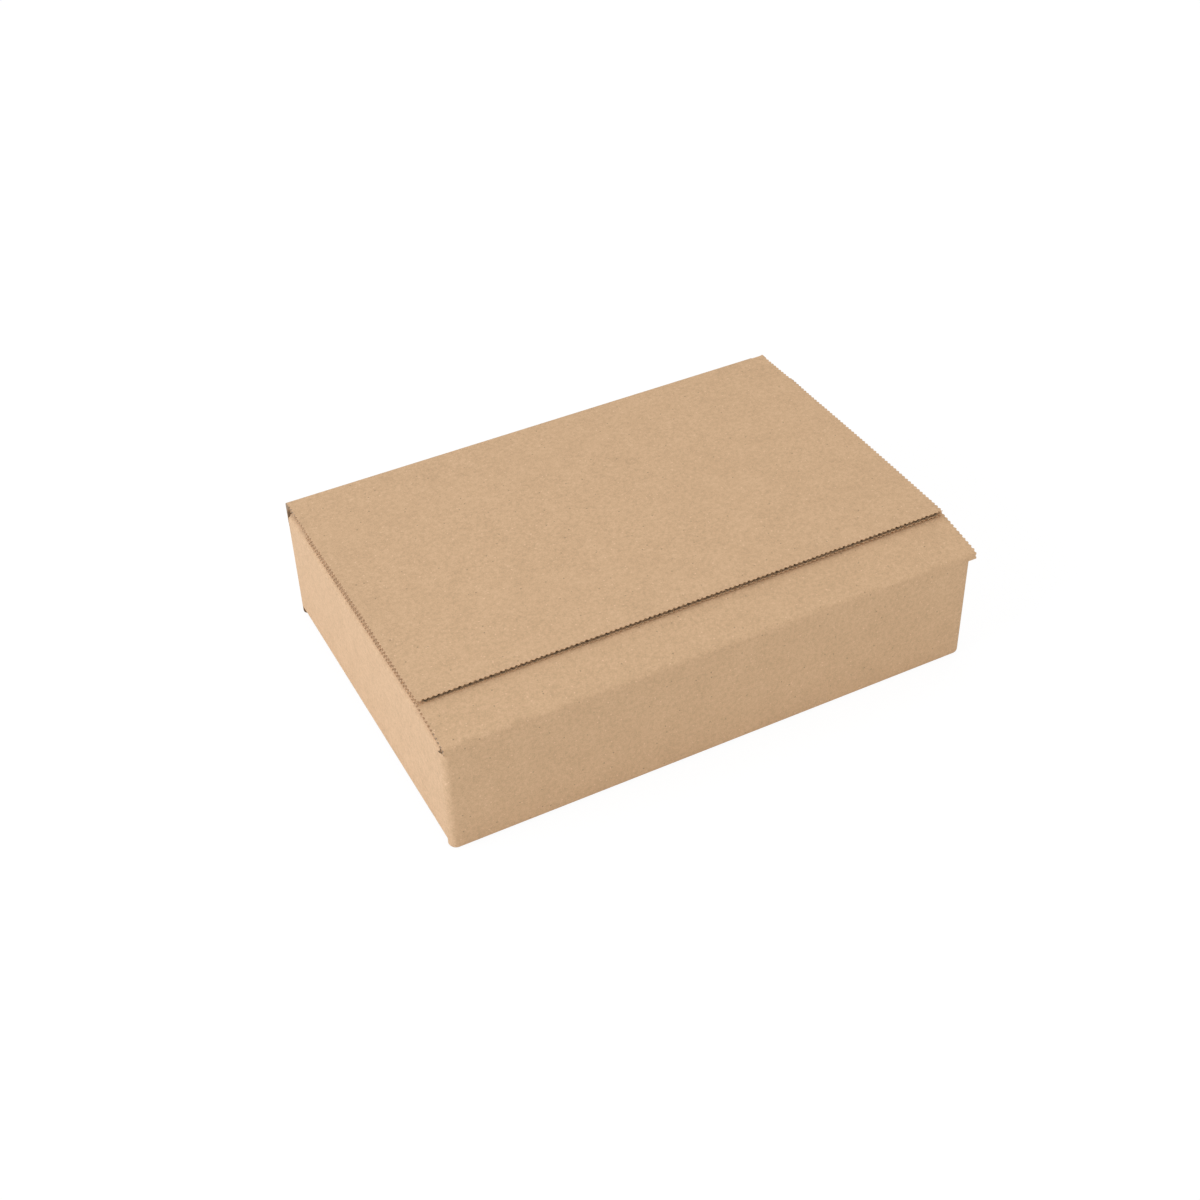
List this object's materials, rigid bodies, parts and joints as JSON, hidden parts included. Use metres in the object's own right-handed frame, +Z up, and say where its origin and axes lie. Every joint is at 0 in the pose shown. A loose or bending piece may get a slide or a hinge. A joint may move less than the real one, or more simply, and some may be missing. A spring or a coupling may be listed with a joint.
{
  "type": "cardboard box",
  "caption": "Closed low corrugated cardboard box whose wide top flap folds over from the back and hinges open at its crease.",
  "frame": {"origin": "centre of the footprint, on the surface that the box stands on", "axes": "+X along the front wall to the right, +Y from the front wall to the hinged back wall, +Z up"},
  "size_m": [0.355, 0.245, 0.089],
  "materials": {
    "kraft_board": "matte recycled kraft paper"
  },
  "bodies": {
    "box": {"folded_box": "kraft_board"},
    "top_flap": {"outer_top_flap": "kraft_board"}
  },
  "joints": [
    {"name": "outer_flap_hinge", "type": "hinge", "parent": "box", "child": "top_flap", "pos_m": [0, 0.121, 0.0875], "axis": [-1, 0, 0], "range_deg": [0, 200]}
  ]
}
